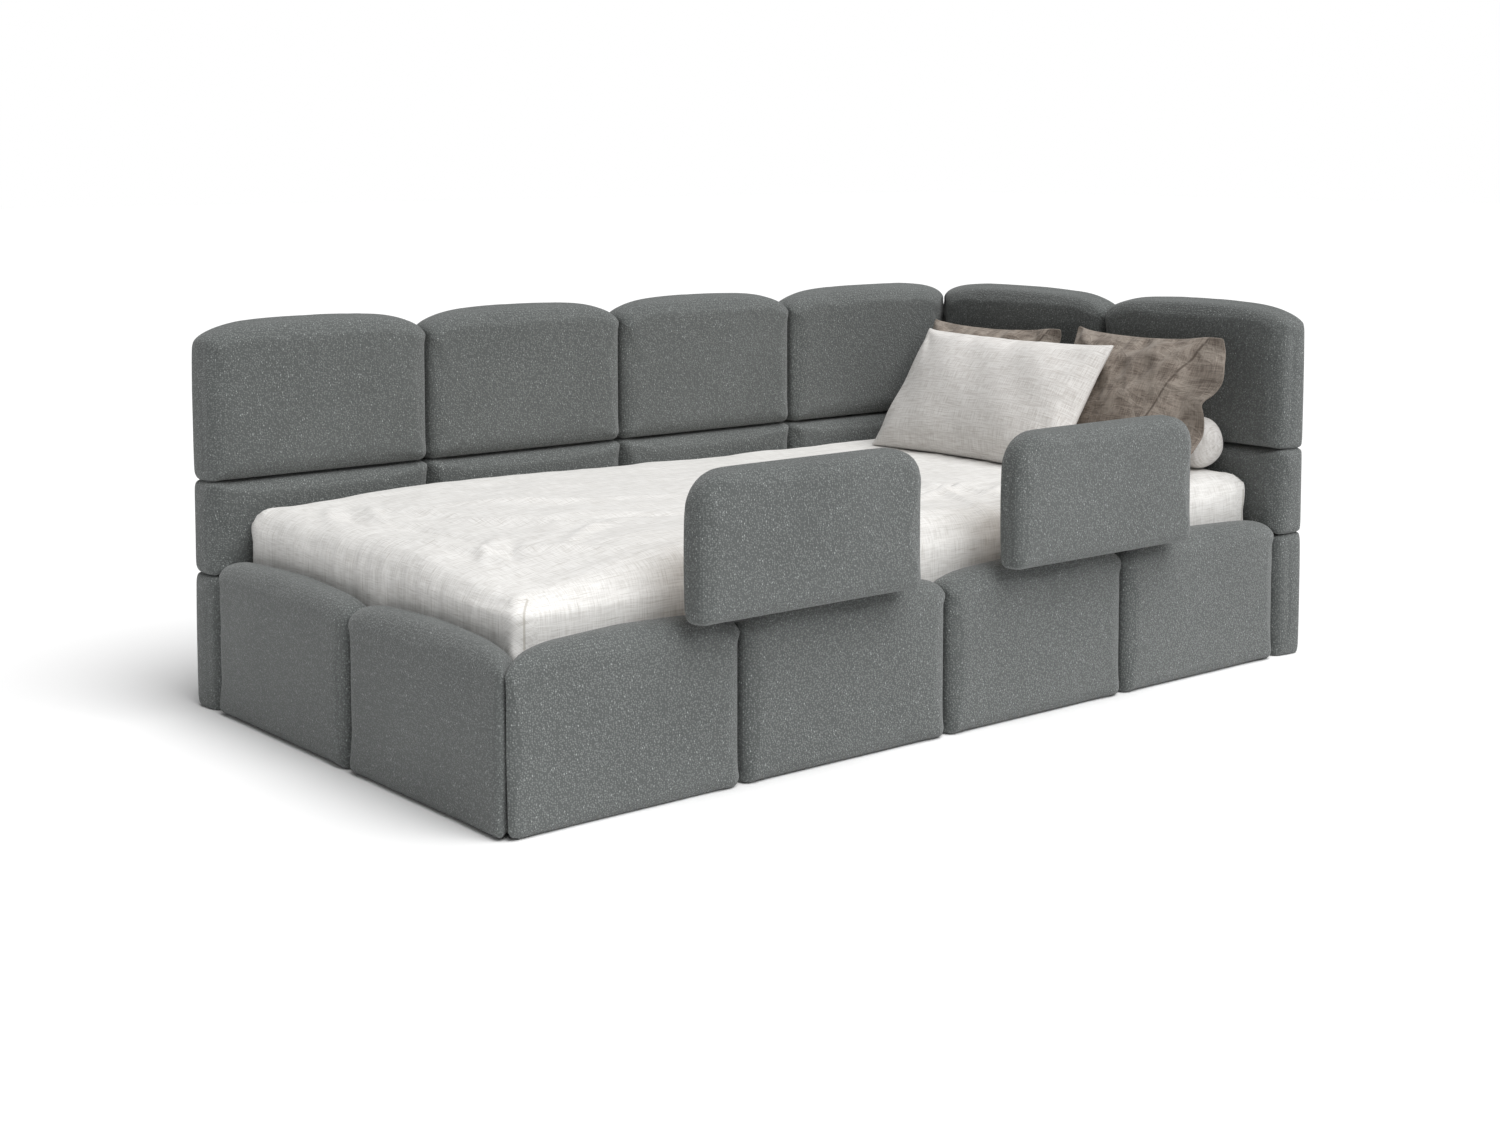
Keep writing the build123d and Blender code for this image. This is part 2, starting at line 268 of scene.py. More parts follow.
def mixColour(tree, share, first, second):
    node = addNode(tree, "ShaderNodeMix", data_type="RGBA")
    for socket, value in zip((node.inputs[0], node.inputs[6], node.inputs[7]), (share, first, second)):
        if isinstance(value, bpy.types.NodeSocket):
            tree.links.new(value, socket)
        else:
            socket.default_value = value
    return node.outputs[2]


def makePebbleGroup():
    # a pebbled woven face: round loops in slanting rows, with pale flecks lying on some of them
    floats = [("Pitch", "NodeSocketFloat", 0.0026), ("Fleck pitch", "NodeSocketFloat", 0.0085)]
    group, start, end = newGroup(
        "pebbleWeave", [("Vector", "NodeSocketVector", None)] + floats,
        [("Height", "NodeSocketFloat"), ("Fleck", "NodeSocketFloat"), ("Tone", "NodeSocketFloat")]
    )
    place = start.outputs["Vector"]
    fine = math2(group, "DIVIDE", 1.0, start.outputs["Pitch"])
    loops = addNode(group, "ShaderNodeTexVoronoi", {"Vector": place, "Scale": fine, "Randomness": 0.75})
    bumps = ramp(group, loops.outputs["Distance"], 0.62, 0.10)
    slant = addNode(group, "ShaderNodeMapping", {
        "Vector": place, "Rotation": (0.45, 0.45, 0.2), "Scale": (1, 1, 0.5)})
    coarse = math2(group, "DIVIDE", 1.0, start.outputs["Fleck pitch"])
    spots = addNode(group, "ShaderNodeTexVoronoi", {
        "Vector": slant.outputs[0], "Scale": coarse, "Randomness": 1.0})
    draw = addNode(group, "ShaderNodeSeparateColor", {0: spots.outputs["Color"]}).outputs[0]
    chosen = ramp(group, draw, 0.28, 0.98)
    fleck = math2(group, "MULTIPLY", ramp(group, spots.outputs["Distance"], 0.25, 0.10), chosen)
    row = addNode(group, "ShaderNodeTexWave", {
        "Vector": place, "Scale": 34.0, "Distortion": 2.2, "Detail": 1.0}, bands_direction="DIAGONAL")
    broad = addNode(group, "ShaderNodeTexNoise", {"Vector": place, "Scale": 5.0, "Detail": 3.0})
    height = math2(group, "MULTIPLY_ADD", row.outputs["Fac"], 0.22, bumps)
    group.links.new(math2(group, "MULTIPLY_ADD", fleck, 0.5, height), end.inputs["Height"])
    group.links.new(fleck, end.inputs["Fleck"])
    tone = math2(group, "MULTIPLY_ADD", broad.outputs["Fac"], 0.35, math2(group, "MULTIPLY", bumps, 0.8))
    group.links.new(tone, end.inputs["Tone"])
    return group


def makeLinenGroup():
    # plain weave with slubs: threads both ways, each one uneven along its length
    floats = [("Thread", "NodeSocketFloat", 0.0017), ("Slub", "NodeSocketFloat", 0.03)]
    group, start, end = newGroup(
        "slubLinen", [("Vector", "NodeSocketVector", None)] + floats,
        [("Height", "NodeSocketFloat"), ("Tone", "NodeSocketFloat"), ("Streak", "NodeSocketFloat")]
    )
    parts = addNode(group, "ShaderNodeSeparateXYZ", {0: start.outputs["Vector"]})
    across = [math2(group, "DIVIDE", parts.outputs[i], start.outputs["Thread"]) for i in (0, 1)]
    along = [math2(group, "DIVIDE", parts.outputs[i], start.outputs["Slub"]) for i in (0, 1)]
    side = math2(group, "MULTIPLY", parts.outputs[2], 900.0)
    otherSide = math2(group, "ADD", side, 7.3)
    threads = []
    for first, second, third in ((across[0], along[1], side), (along[0], across[1], otherSide)):
        place = addNode(group, "ShaderNodeCombineXYZ", {0: first, 1: second, 2: third}).outputs[0]
        noise = addNode(group, "ShaderNodeTexNoise", {"Vector": place, "Scale": 1.0, "Detail": 1.5})
        threads.append(noise.outputs["Fac"])
    warp, weft = threads
    both = math2(group, "MULTIPLY", math2(group, "ADD", warp, weft), 0.5)
    group.links.new(math2(group, "MAXIMUM", warp, weft), end.inputs["Height"])
    group.links.new(ramp(group, both, 0.36, 0.64), end.inputs["Tone"])
    group.links.new(ramp(group, math2(group, "MINIMUM", warp, weft), 0.36, 0.22), end.inputs["Streak"])
    return group


def makeGrainGroup():
    # wood grain running along Y: growth lines, fine pores and broad colour drift
    group, start, end = newGroup(
        "woodGrain", [("Vector", "NodeSocketVector", None), ("Line", "NodeSocketFloat", 55.0)],
        [("Grain", "NodeSocketFloat"), ("Pores", "NodeSocketFloat")]
    )
    long = scaled(group, start.outputs["Vector"], (1.0, 0.05, 1.0))
    drift = addNode(group, "ShaderNodeTexNoise", {"Vector": long, "Scale": 9.0, "Detail": 2.0})
    bent = addNode(group, "ShaderNodeVectorMath", {0: long, 1: drift.outputs["Color"]}, operation="ADD")
    lines = addNode(group, "ShaderNodeTexNoise", {
        "Vector": bent.outputs[0], "Scale": start.outputs["Line"], "Detail": 6.0})
    pores = addNode(group, "ShaderNodeTexNoise", {
        "Vector": scaled(group, start.outputs["Vector"], (1.0, 0.02, 1.0)), "Scale": 900.0, "Detail": 1.0})
    group.links.new(ramp(group, lines.outputs["Fac"], 0.38, 0.62), end.inputs["Grain"])
    group.links.new(ramp(group, pores.outputs["Fac"], 0.62, 0.72), end.inputs["Pores"])
    return group


def makeSpeckleGroup():
    # tiny uneven bumps with a broad drift: powder coat, moulded plastic, felted lining
    group, start, end = newGroup(
        "speckle", [("Vector", "NodeSocketVector", None), ("Grain", "NodeSocketFloat", 900.0)],
        [("Height", "NodeSocketFloat"), ("Drift", "NodeSocketFloat")]
    )
    grain = addNode(group, "ShaderNodeTexNoise", {
        "Vector": start.outputs["Vector"], "Scale": start.outputs["Grain"], "Detail": 2.0})
    drift = addNode(group, "ShaderNodeTexNoise", {
        "Vector": start.outputs["Vector"], "Scale": 14.0, "Detail": 4.0})
    group.links.new(grain.outputs["Fac"], end.inputs["Height"])
    group.links.new(drift.outputs["Fac"], end.inputs["Drift"])
    return group


groups = {"pebble": makePebbleGroup(), "linen": makeLinenGroup(), "grain": makeGrainGroup(),
          "speckle": makeSpeckleGroup()}


def newMaterial(name, roughness, **constants):
    material = bpy.data.materials.new(name)
    material.use_nodes = True
    tree = material.node_tree
    shader = tree.nodes["Principled BSDF"]
    shader.inputs["Roughness"].default_value = roughness
    for key, value in constants.items():
        shader.inputs[key.replace("_", " ")].default_value = value
    return material, tree, shader


def placeGroup(tree, kind, vector, **values):
    node = addNode(tree, "ShaderNodeGroup", node_tree=groups[kind])
    tree.links.new(vector, node.inputs["Vector"])
    for key, value in values.items():
        node.inputs[key.replace("_", " ")].default_value = value
    return node.outputs


def bumpInto(tree, shader, height, strength, distance):
    bump = addNode(tree, "ShaderNodeBump", {"Height": height, "Strength": strength, "Distance": distance})
    tree.links.new(bump.outputs[0], shader.inputs["Normal"])


def objectPlace(tree):
    return addNode(tree, "ShaderNodeTexCoord").outputs["Object"]


def clothPlace(tree):
    # the piece's own flat cloth coordinates, in metres
    return addNode(tree, "ShaderNodeAttribute", attribute_name="clothMap").outputs["Vector"]


greyFabric = {"shadow": (0.070, 0.077, 0.075, 1), "face": (0.203, 0.217, 0.212, 1),
              "fleck": (0.58, 0.61, 0.60, 1), "pitch": 0.0031, "fleckPitch": 0.0040}


def makeUpholstery():
    material, tree, shader = newMaterial("pebbledUpholstery", 0.92, Sheen_Weight=0.20, Sheen_Roughness=0.6)
    weave = placeGroup(tree, "pebble", objectPlace(tree), Pitch=greyFabric["pitch"],
                       Fleck_pitch=greyFabric["fleckPitch"])
    colour = mixColour(tree, weave["Tone"], greyFabric["shadow"], greyFabric["face"])
    colour = mixColour(tree, math2(tree, "MULTIPLY", weave["Fleck"], 0.7), colour, greyFabric["fleck"])
    tree.links.new(colour, shader.inputs["Base Color"])
    bumpInto(tree, shader, weave["Height"], 0.65, 0.0012)
    return material


def makeLinen(name, dark, light, streak, thread, slub, mottle=0.0, mottleAndHighlight=None, seamAt=None,
              seamSlope=0.0, cornerSeamsAndSideLight=False, crinkle=0.0):
    material, tree, shader = newMaterial(name, 0.9, Sheen_Weight=0.08, Sheen_Roughness=0.5)
    place = clothPlace(tree)
    weave = placeGroup(tree, "linen", place, Thread=thread, Slub=slub)
    colour = mixColour(tree, weave["Tone"], dark, light)
    colour = mixColour(tree, math2(tree, "MULTIPLY", weave["Streak"], 0.55), colour, streak)
    if mottle:
        # painted highlight: brighter cloudy patches, partly the linen's own mottled tone and partly painted
        # highlights of the crumpled cloth
        mottleAndHighlightCloud = addNode(tree, "ShaderNodeTexNoise", {
            "Vector": place, "Scale": 26.0, "Detail": 6.0, "Roughness": 0.68, "Distortion": 0.6})
        share = math2(tree, "MULTIPLY", ramp(tree, mottleAndHighlightCloud.outputs["Fac"], 0.42, 0.62), mottle)
        colour = mixColour(tree, share, colour, mottleAndHighlight)
    height = weave["Height"]
    if seamAt is not None:
        # a stitched hem: a fine groove across the case, seamAt metres from its middle
        parts = addNode(tree, "ShaderNodeSeparateXYZ", {0: place})
        line = math2(tree, "MULTIPLY_ADD", parts.outputs[1], seamSlope, seamAt)
        off = math2(tree, "ABSOLUTE", math2(tree, "SUBTRACT", parts.outputs[0], line))
        groove = ramp(tree, off, 0.0030, 0.0006)
        colour = mixColour(tree, math2(tree, "MULTIPLY", groove, 0.8), colour, streak)
        height = math2(tree, "MULTIPLY_ADD", groove, -1.6, height)
    if cornerSeamsAndSideLight:
        off = addNode(tree, "ShaderNodeAttribute", attribute_name="seamOff").outputs["Fac"]
        groove = ramp(tree, math2(tree, "ABSOLUTE", off), 0.0030, 0.0008)
        colour = mixColour(tree, math2(tree, "MULTIPLY", groove, 0.8), colour, streak)
        height = math2(tree, "MULTIPLY_ADD", groove, -1.6, height)
        # painted light: the sides are made a little brighter than the top, lifting the shade that falls on
        # them
        side = addNode(tree, "ShaderNodeAttribute", attribute_name="paintedLightShare").outputs["Fac"]
        paintedLightGain = math2(tree, "MULTIPLY_ADD", side, 0.12, 1.0)
        paintedSideLight = addNode(tree, "ShaderNodeVectorMath", {0: colour, "Scale": paintedLightGain}, operation="SCALE")
        colour = paintedSideLight.outputs[0]
    if crinkle:
        # sharp creases of crumpled cloth, bumped in, with a painted highlight along the ridge of each
        # crease
        fold = addNode(tree, "ShaderNodeTexNoise", {
            "Vector": place, "Scale": 17.0, "Detail": 3.0, "Roughness": 0.5, "Distortion": 1.4})
        away = math2(tree, "ABSOLUTE", math2(tree, "SUBTRACT", fold.outputs["Fac"], 0.5))
        creaseAndHighlight = ramp(tree, away, 0.055, 0.0)
        colour = mixColour(tree, math2(tree, "MULTIPLY", creaseAndHighlight, 0.22), colour, mottleAndHighlight or light)
        height = math2(tree, "MULTIPLY_ADD", creaseAndHighlight, crinkle, height)
    tree.links.new(colour, shader.inputs["Base Color"])
    bumpInto(tree, shader, height, 0.5, 0.0008)
    return material


def makeWood(name, light, dark, line, turned=0.0, gloss=0.5):
    material, tree, shader = newMaterial(name, gloss)
    turn = addNode(tree, "ShaderNodeMapping", {"Vector": objectPlace(tree), "Rotation": (0, 0, turned)})
    wood = placeGroup(tree, "grain", turn.outputs[0], Line=line)
    colour = mixColour(tree, wood["Grain"], light, dark)
    poreColour = [c * 0.5 for c in dark[:3]] + [1]
    colour = mixColour(tree, math2(tree, "MULTIPLY", wood["Pores"], 0.35), colour, poreColour)
    tree.links.new(colour, shader.inputs["Base Color"])
    tree.links.new(ramp(tree, wood["Grain"], 0, 1, gloss, gloss + 0.15), shader.inputs["Roughness"])
    bumpInto(tree, shader, math2(tree, "SUBTRACT", wood["Grain"], wood["Pores"]), 0.25, 0.0004)
    return material


def makeSpeckled(name, colour, shade, roughness, grain, strength, metallic=0.0):
    material, tree, shader = newMaterial(name, roughness, Metallic=metallic)
    skin = placeGroup(tree, "speckle", objectPlace(tree), Grain=grain)
    tint = mixColour(tree, ramp(tree, skin["Drift"], 0.35, 0.65), colour, shade)
    tree.links.new(tint, shader.inputs["Base Color"])
    dulled = ramp(tree, skin["Drift"], 0.3, 0.7, roughness - 0.06, roughness + 0.08)
    tree.links.new(dulled, shader.inputs["Roughness"])
    bumpInto(tree, shader, skin["Height"], strength, 0.0004)
    return material


linens = {
    # the sheet's corner seams come with its sides painted brighter than its top, a painted light
    "sheet": {"name": "offWhiteSheet", "dark": (0.66, 0.645, 0.62, 1), "light": (0.82, 0.81, 0.79, 1),
              "streak": (0.5, 0.475, 0.43, 1), "thread": 0.0019, "slub": 0.032, "cornerSeamsAndSideLight": True},
    "white_linen": {"name": "whiteLinenCase", "dark": (0.64, 0.612, 0.585, 1),
                    "light": (0.85, 0.835, 0.812, 1), "streak": (0.5, 0.465, 0.42, 1), "thread": 0.0015,
                    "slub": 0.028},
    "bolster_linen": {"name": "bolsterCase", "dark": (0.6, 0.575, 0.545, 1),
                      "light": (0.8, 0.78, 0.76, 1), "streak": (0.48, 0.45, 0.41, 1), "thread": 0.0015,
                      "slub": 0.028},
    # brown linen: its mottle and crinkle colours hold painted highlights of the crumpled cloth as well as
    # its own mottled tone
    "brown_linen": {"name": "brownLinenCase", "dark": (0.135, 0.108, 0.088, 1),
                    "light": (0.285, 0.24, 0.202, 1), "streak": (0.09, 0.07, 0.055, 1),
                    "thread": 0.0015, "slub": 0.028, "mottle": 0.5,
                    "mottleAndHighlight": (0.42, 0.37, 0.32, 1), "seamAt": 0.128, "seamSlope": 0.3,
                    "crinkle": 1.5},
}
woods = {
    "board": {"name": "birchPly", "light": (0.66, 0.5, 0.33, 1), "dark": (0.5, 0.35, 0.21, 1),
              "line": 40, "turned": math.pi / 2},
    "slat_wood": {"name": "birchSlat", "light": (0.72, 0.55, 0.36, 1), "dark": (0.58, 0.41, 0.24, 1),
                  "line": 55, "gloss": 0.38},
    "timber": {"name": "planedPine", "light": (0.7, 0.5, 0.28, 1), "dark": (0.53, 0.32, 0.14, 1),
               "line": 32, "turned": math.pi / 2},
}
skins = {
    "lining": {"name": "feltLining", "colour": (0.033, 0.035, 0.037, 1),
               "shade": (0.04, 0.042, 0.044, 1), "roughness": 0.93, "grain": 1400, "strength": 0.6},
    # painted shade: the boards' felt wrap, dark also to stand in for the shade in the seams between pads
    "feltAndSeamShadeBoard": {"name": "feltAndSeamShadeBoard", "colour": (0.036, 0.039, 0.039, 1),
                     "shade": (0.05, 0.054, 0.054, 1), "roughness": 0.93, "grain": 1200,
                     "strength": 0.6},
    "webbing": {"name": "wovenTape", "colour": (0.62, 0.6, 0.55, 1), "shade": (0.52, 0.5, 0.45, 1),
                "roughness": 0.9, "grain": 1100, "strength": 0.8},
    "steel": {"name": "blackPowderCoat", "colour": (0.018, 0.019, 0.02, 1),
              "shade": (0.028, 0.029, 0.031, 1), "roughness": 0.5, "grain": 1500, "strength": 0.35},
    "fastener": {"name": "zincPlate", "colour": (0.6, 0.6, 0.58, 1), "shade": (0.48, 0.48, 0.47, 1),
                 "roughness": 0.34, "grain": 600, "strength": 0.1, "metallic": 1.0},
    "glide": {"name": "blackNylon", "colour": (0.02, 0.02, 0.021, 1), "shade": (0.03, 0.03, 0.031, 1),
              "roughness": 0.55, "grain": 700, "strength": 0.2},
}
finishes = {"upholstery": makeUpholstery()}
for make, table in ((makeLinen, linens), (makeWood, woods), (makeSpeckled, skins)):
    for finish, values in table.items():
        finishes[finish] = make(**values)
slotOf = {entry["node"]: entry["material_slot"] for entry in frame["record"]["subparts"]}
print("materials made")


def giveFinish(obj, finish):
    obj.data.materials.clear()
    obj.data.materials.append(finishes[finish])


for nodeName, nodeObject in nodes.items():
    giveFinish(nodeObject, slotOf[nodeName])
# painted shade: these boards are wrapped in dark felt, kept dark also so that where they show between the
# pads they read as the seams' shade
for nodeName in ("back_board", "head_board", "front_rail_board", "foot_rail_board"):  # wrapped in felt
    giveFinish(nodes[nodeName], "feltAndSeamShadeBoard")


def finishPadded(piece, node, finish, body):
    # what every padded piece needs once it has its shape
    smoothShade(piece)
    giveFinish(piece, finish)
    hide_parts(node)
    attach(piece, body)


# padded modules of the rails and panels
pads = {"voxel": 0.0075, "pressure": 4.0, "frames": 14, "cap": 0.0055, "swell": 0.0028, "rearProud": 0.0011,
        "floorDrop": 0.0065, "seamGap": -0.0006, "seamRound": 0.008, "rearRound": 0.006, "freeRound": 0.022,
        "freeRearRound": 0.010, "bottomRadius": 0.014, "floorCut": 0.007, "crownSpan": 0.12,
        "tierLap": 0.0025, "liningRoom": 0.002, "floorNear": 0.02}
# how each tier's top bows: over the whole pad, and down to its ends within a reach of them
crowns = {"rail": {"bow": 0.008, "fall": 0.018, "reach": 0.075, "roof": 0.027, "roofDrop": 0.022},
          "top": {"bow": 0.010, "fall": 0.026, "reach": 0.088, "roof": 0.024, "roofDrop": 0.018},
          "flat": {"bow": 0.0, "fall": 0.005, "reach": 0.014, "roof": 0.004, "roofDrop": 0.0}}
padCache = {}


def slabOutline(length, depth, height, ends):
    # a slab lying along X with its front face at y=0, mitred where it turns a corner
    slab = addBox((length / 2, depth / 2, height / 2), (length, depth, height))
    points = pointsOf(slab)
    rear = points[:, 1] > depth - small
    for end, x, inward in (("left", 0, 1), ("right", length, -1)):
        at = rear & (abs(points[:, 0] - x) < small)
        points[at, 0] += inward * mitreShift(ends[end], depth)
    setPoints(slab, points)
    bevelEdges(slab, lambda a, b: abs(a.y - b.y) > depth / 2 and a.z < small and b.z < small,
               pads["bottomRadius"], 3)
    for y, radius, cuts in ((0, pads["seamRound"], 4), (depth, pads["rearRound"], 2)):
        bevelRim(slab, lambda face: abs(face.center.y - y) < small and abs(face.normal.y) > 0.9,
                 radius, cuts)
    return slab


def mitreShift(end, depth):
    return {"mitreIn": depth, "mitreOut": -depth}.get(end, 0)


def bowTop(points, length, depth, height, ends, crown):
    # lowers the top towards the pad's ends, along the mitre where there is one
    back = points[:, 1] / depth
    fromLeft = points[:, 0] - mitreShift(ends["left"], depth) * back
    fromRight = length - mitreShift(ends["right"], depth) * back - points[:, 0]
    near = np.minimum(fromLeft, fromRight)
    whole = np.clip(1 - near / (length / 2), 0, 1)
    end = np.clip(1 - near / crown["reach"], 0, 1)
    drop = crown["bow"] * whole ** 2 + crown["fall"] * (1 - np.sqrt(1 - 0.998 * end ** 2))
    # and rounds it over from front to rear
    side = np.clip(1 - np.minimum(points[:, 1], depth - points[:, 1]) / crown["roof"], 0, 1)
    drop += crown["roofDrop"] * (1 - np.sqrt(1 - 0.998 * side ** 2))
    span = min(pads["crownSpan"], height * 0.6)
    points[:, 2] -= drop * np.clip((points[:, 2] - height + span) / span, 0, 1)
    return points


def roundFreeEnd(points, x, inward, depth):
    # rounds the two upright edges of an end that stands free
    inX = (points[:, 0] - x) * inward
    for rear in (False, True):
        radius = pads["freeRearRound"] if rear else pads["freeRound"]
        inY = depth - points[:, 1] if rear else points[:, 1].copy()
        corner = np.stack([radius - inX, radius - inY], 1)
        reach = np.linalg.norm(corner, axis=1)
        hit = (corner > 0).all(1) & (reach > radius)
        corner[hit] *= (radius / reach[hit])[:, None]
        points[hit, 0] = x + inward * (radius - corner[hit, 0])
        points[hit, 1] = depth - (radius - corner[hit, 1]) if rear else radius - corner[hit, 1]
    return points


def makePadShape(length, depth, height, crown, ends, cut):
    key = (round(length, 4), round(depth, 4), round(height, 4), crown, cut, tuple(sorted(ends.items())))
    if key in padCache:
        return padCache[key]
    slab = slabOutline(length, depth, height, ends)
    remesh(slab, pads["voxel"])
    points = bowTop(pointsOf(slab), length, depth, height, ends, crowns[crown])
    for end, x, inward in (("left", 0, 1), ("right", length, -1)):
        if ends[end] == "free":
            points = roundFreeEnd(points, x, inward, depth)
    # drawn in, so that it can swell
    points[:, 1] += pads["swell"] * (1 - softStep(points[:, 1], 0, depth * 0.5))
    setPoints(slab, points)
    low, high = points.min(0), points.max(0)
    rear = points[:, 1] > depth - 0.004
    inflate(slab, pads["pressure"], pads["frames"], pads["cap"], held=rear)
    points = pointsOf(slab)
    bound = [(low[0], high[0]), (0.0, high[1]), (low[2], height)]
    for axis, (least, most) in enumerate(bound):
        points[:, axis] = np.clip(points[:, axis], least, most)
    setPoints(slab, points)
    refine(slab, 3)
    # the cloth is stapled flat underneath, so a floor pad ends in a crisp edge
    points = pointsOf(slab)
    points[:, 2] = np.maximum(points[:, 2], cut)
    setPoints(slab, points)
    padCache[key] = slab
    return slab


def upholster(node, name, ends, crown, facing="front", low=None, high=None):
    # makes the pad that stands for a CAD pad; facing says which way its good side looks
    boxLow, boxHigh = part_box(node)
    low = Vector(low) if low else boxLow
    high = Vector(high) if high else boxHigh
    onFloor = low.z < pads["floorNear"]
    low.z -= 0.0 if onFloor else pads["tierLap"]
    high.z += pads["tierLap"] if crown == "flat" else 0.0  # tiers press into each other
    size = high - low
    length, depth = (size.x, size.y) if facing == "front" else (size.y, size.x)
    gap = pads["seamGap"]
    cut = pads["floorCut"] if onFloor else 0.0
    drop = cut + pads["floorDrop"] if onFloor else 0.0
    shape = makePadShape(length - 2 * gap, depth + pads["rearProud"], size.z + drop - gap, crown, ends, cut)
    pad = copyPiece(shape, name)
    if facing == "front":
        pad.location = (low.x + gap, low.y, low.z + gap - drop)
    else:
        pad.rotation_euler[2] = -math.pi / 2
        pad.location = (low.x, high.y - gap, low.z + gap - drop)
    applyPlace(pad)
    finishPadded(pad, node, "upholstery", "root")


def panelFaces():
    # the planes of the two tall panels, inside and outside
    back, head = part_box("back_top_pad_2"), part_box("head_top_pad_1")
    return {"back": back[0].y, "outerBack": back[1].y, "head": head[0].x, "outerHead": head[1].x}


well = panelFaces()


def makeRailPads():
    for i in range(4):
        node = f"front_pad_{i + 1}"
        ends = {"left": "mitreIn" if i == 0 else "seam", "right": "seam"}
        upholster(node, f"frontPad{i + 1}", ends, "rail")
    for i in range(2):
        node = f"foot_pad_{i + 1}"
        ends = {"left": "seam", "right": "mitreIn" if i == 0 else "seam"}
        upholster(node, f"footPad{i + 1}", ends, "rail", facing="side")
    print("rail pads made")


def makePanelPads():
    for tier, crown in (("top", "top"), ("mid", "flat")):
        for i in range(4):
            node = f"back_{tier}_pad_{i + 1}"
            low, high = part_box(node)
            low.y, high.y = well["back"], well["outerBack"] - pads["liningRoom"]
            ends = {"left": "free" if i == 0 else "seam", "right": "seam"}
            if i == 3:
                high.x = well["head"]
                ends["right"] = "mitreOut"
            upholster(node, f"back{tier.title()}Pad{i + 1}", ends, crown, low=low, high=high)
        for i in range(2):
            node = f"head_{tier}_pad_{i + 1}"
            low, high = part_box(node)
            low.x, high.x = well["head"], well["outerHead"] - pads["liningRoom"]
            ends = {"left": "seam", "right": "free" if i == 0 else "seam"}
            if i == 1:
                high.y = well["back"]
                ends["left"] = "mitreOut"
            upholster(node, f"head{tier.title()}Pad{i + 1}", ends, crown, facing="side", low=low, high=high)
    low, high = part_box("back_low_pad")
    high.x, high.y = well["head"], high.y - pads["liningRoom"]
    upholster("back_low_pad", "backLowPad", {"left": "free", "right": "mitreOut"}, "flat",
              low=low, high=high)
    low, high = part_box("head_low_pad")
    high.y, high.x = well["back"], high.x - pads["liningRoom"]
    upholster("head_low_pad", "headLowPad", {"left": "mitreOut", "right": "free"}, "flat", facing="side",
              low=low, high=high)
    print("panel pads made")


guard = {"topRadius": 0.058, "bottomRadius": 0.016, "edgeRound": 0.013, "voxel": 0.0065, "pressure": 4.0,
         "frames": 14, "cap": 0.004, "swell": 0.0025, "boardProud": 0.0018}


def makeGuardShape(size):
    slab = addBox(size / 2, size)
    for z, radius, cuts in ((size.z, guard["topRadius"], 10), (0, guard["bottomRadius"], 4)):
        bevelEdges(slab, lambda a, b: abs(a.y - b.y) > size.y / 2 and abs(a.z - z) < small, radius, cuts)
    bevelRim(slab, lambda face: abs(face.normal.y) > 0.99, guard["edgeRound"], 4)
    remesh(slab, guard["voxel"])
    points = pointsOf(slab)
    points[:, 1] += guard["swell"] * (1 - softStep(points[:, 1], 0, size.y / 2))
    setPoints(slab, points)
    rear = points[:, 1] > size.y - 0.004
    inflate(slab, guard["pressure"], guard["frames"], guard["cap"], held=rear)
    furthest = np.array(size) - np.array([0, guard["boardProud"], 0])
    setPoints(slab, np.clip(pointsOf(slab), 0, furthest))
    refine(slab, 2)
    return slab


def makeGuards():
    low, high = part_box("guard_left_pad")
    pad = makeGuardShape(high - low)
    pad.name = "guardLeftPad"
    copyPiece(pad, "guardRightPad")
    for side in ("left", "right"):
        node = f"guard_{side}_pad"
        pad = bpy.data.objects[f"guard{side.title()}Pad"]
        pad.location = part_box(node)[0]
        applyPlace(pad)
        finishPadded(pad, node, "upholstery", f"guard_{side}")
    print("guards made")


bed = {"voxel": 0.0082, "edge": 0.030, "corner": 0.008, "pressure": 3.0, "frames": 10, "cap": 0.005,
       "sheetGap": 0.0012, "sheetThick": 0.0012, "underHem": 0.085, "dome": 0.015, "seamFrom": 0.012,
       "grow": (0.006, 0.0020, 0.003, 0.0040), "folds": 2.6, "cornerFall": 0.024, "cornerReach": 0.34,
       "pucker": 0.0016, "uneven": (0.0013, 0.0006)}


